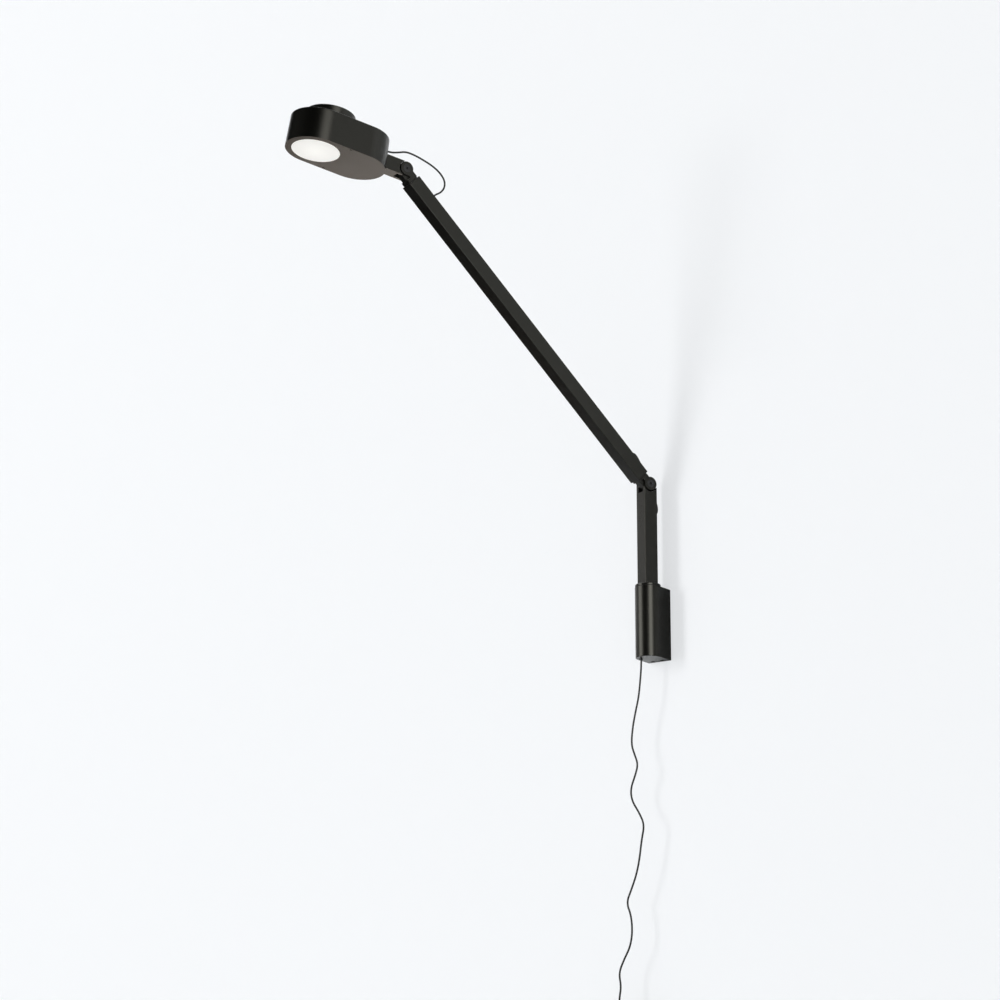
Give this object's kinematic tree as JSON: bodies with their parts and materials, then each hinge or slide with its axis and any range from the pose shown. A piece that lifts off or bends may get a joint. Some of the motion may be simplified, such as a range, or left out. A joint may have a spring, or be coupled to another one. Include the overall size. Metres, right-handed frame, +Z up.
{
  "type": "wall lamp",
  "caption": "Black swing-arm wall lamp: U-shaped bracket, swivelling square arms with bolt hinges, pill-shaped head with round diffuser and top dimmer knob, thin hanging cord.",
  "frame": {"origin": "middle of the two wall screw holes, on the wall plane", "axes": "+Z up along the wall, +Y into the wall, so the room lies towards -Y, +X along the wall to the right seen from the room"},
  "size_m": [0.2634, 0.539, 1.2498],
  "materials": {
    "black_coat": "satin black coating",
    "black_steel": "black oxide",
    "zinc_steel": "zinc plated",
    "bare_aluminium": "machined",
    "bearing_plastic": "natural",
    "diffuser_white": "opal, lit from behind",
    "reflector_white": "white",
    "led_board_white": "solder mask",
    "led_yellow": "phosphor",
    "board_green": "solder mask",
    "component_grey": "moulded",
    "terminal_white": "moulded",
    "black_rubber": "matte",
    "cord_black": "smooth sheath",
    "plug_black": "fine texture",
    "pin_metal": "plated"
  },
  "bodies": {
    "bracket": {"wall_plate": "zinc_steel", "bracket_housing": "black_coat", "bottom_cover": "black_coat", "cover_screws": "black_steel", "swivel_bush": "bearing_plastic", "swivel_washer": "bearing_plastic", "terminal_block": "terminal_white", "terminal_screws": "zinc_steel", "bracket_lead": "cord_black", "inlet_lead": "cord_black", "cord_gland": "black_rubber", "main_cord": "cord_black", "cord_coil": "cord_black", "coil_tie": "black_rubber", "plug_case": "plug_black", "plug_pins": "pin_metal", "plug_boot": "black_rubber"},
    "lower_arm": {"turret_collar": "black_coat", "swivel_spindle": "zinc_steel", "spindle_nut": "zinc_steel", "wave_washer": "zinc_steel", "lower_arm_tube": "black_coat", "elbow_block": "black_coat", "lower_grommet": "black_rubber", "lower_wiring": "cord_black"},
    "upper_arm": {"upper_arm_tube": "black_coat", "elbow_knuckle": "black_coat", "head_knuckle": "black_coat", "elbow_bolt": "black_steel", "elbow_nut": "black_steel", "elbow_washers": "bearing_plastic", "head_bolt": "black_steel", "head_nut": "black_steel", "head_washers": "bearing_plastic", "upper_grommets": "black_rubber", "upper_wiring": "cord_black", "elbow_cord": "cord_black", "head_cord": "cord_black"},
    "lamp_head": {"head_shell": "black_coat", "bottom_plate": "black_coat", "diffuser": "diffuser_white", "reflector": "reflector_white", "led_board": "led_board_white", "led_chips": "led_yellow", "heat_spreader": "bare_aluminium", "spreader_screws": "zinc_steel", "driver_board": "board_green", "driver_parts": "component_grey", "driver_screws": "zinc_steel", "head_block": "black_coat", "head_block_screw": "zinc_steel", "head_grommet": "black_rubber", "head_lead": "cord_black", "dimmer_module": "component_grey", "module_nut": "zinc_steel"},
    "dimmer": {"dimmer_knob": "black_coat", "dimmer_shaft": "zinc_steel"}
  },
  "joints": [
    {"name": "swivel", "type": "hinge", "parent": "bracket", "child": "lower_arm", "pos_m": [0, -0.0285, 0.0485], "axis": [0, 0, 1], "range_deg": [-61.4, 108.6]},
    {"name": "elbow", "type": "hinge", "parent": "lower_arm", "child": "upper_arm", "pos_m": [0.00068, -0.02694, 0.1915], "axis": [-0.9164, 0.4003, 0], "range_deg": [-44.6, 28.4], "deforming": ["elbow_cord"]},
    {"name": "head_tilt", "type": "hinge", "parent": "upper_arm", "child": "lamp_head", "pos_m": [-0.1524, -0.37732, 0.56856], "axis": [-0.9164, 0.4003, 0], "range_deg": [-54.6, 35.4], "deforming": ["head_cord"]},
    {"name": "dimmer_turn", "type": "hinge", "parent": "lamp_head", "child": "dimmer", "pos_m": [-0.19923, -0.48451, 0.5875], "axis": [0.064, 0.1465, 0.9871], "range_deg": [-135, 135]}
  ]
}
